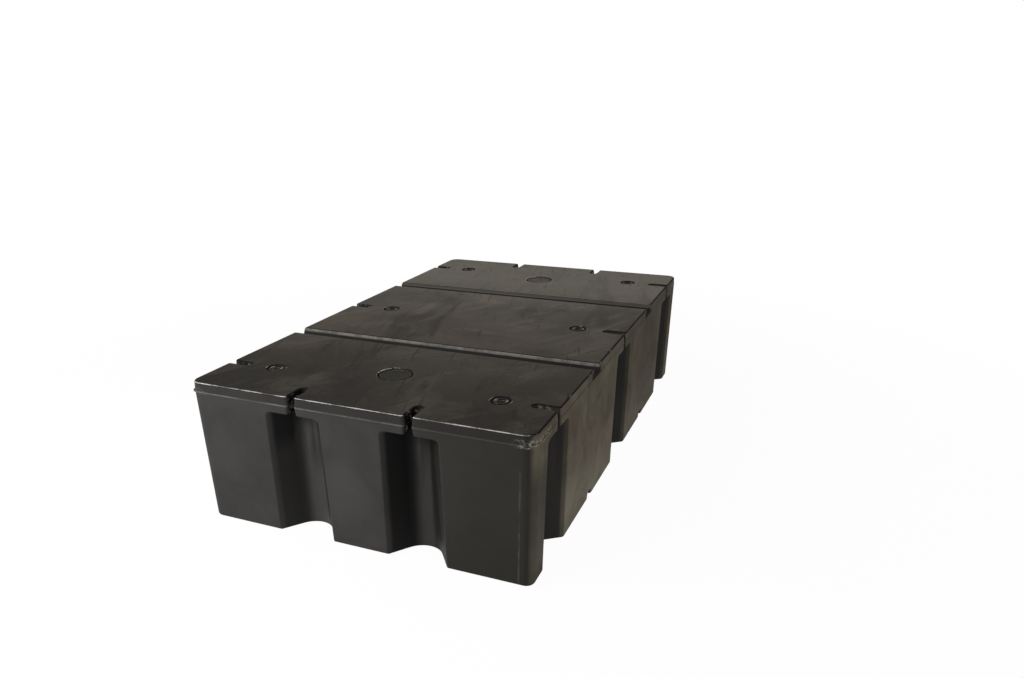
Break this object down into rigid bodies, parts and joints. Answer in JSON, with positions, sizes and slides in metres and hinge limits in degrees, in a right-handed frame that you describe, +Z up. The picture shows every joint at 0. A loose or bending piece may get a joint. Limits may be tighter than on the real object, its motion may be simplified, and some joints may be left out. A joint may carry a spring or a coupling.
{
  "type": "dock float drum",
  "caption": "Black moulded dock float drum with a slotted edge flange over open wall recesses, cross grooves in deck and base, and flush round plugs.",
  "frame": {"origin": "centre of the base, at the lowest point of the drum", "axes": "+Z up towards the deck face, +Y along the length away from the picture's near end, +X across the drum to the picture's right"},
  "size_m": [0.9144, 1.524, 0.381],
  "materials": {
    "drum_polyethylene": "rotationally moulded black polyethylene, matt with a slight sheen, weathered and scuffed",
    "plug_polyethylene": "moulded black polyethylene, matt"
  },
  "bodies": {
    "root": {"drum_shell": "drum_polyethylene", "fill_plug_front": "plug_polyethylene", "fill_plug_rear": "plug_polyethylene", "vent_plug_front_left": "plug_polyethylene", "vent_plug_front_right": "plug_polyethylene", "vent_plug_middle_left": "plug_polyethylene", "vent_plug_middle_right": "plug_polyethylene", "vent_plug_rear_left": "plug_polyethylene", "vent_plug_rear_right": "plug_polyethylene"}
  },
  "joints": []
}
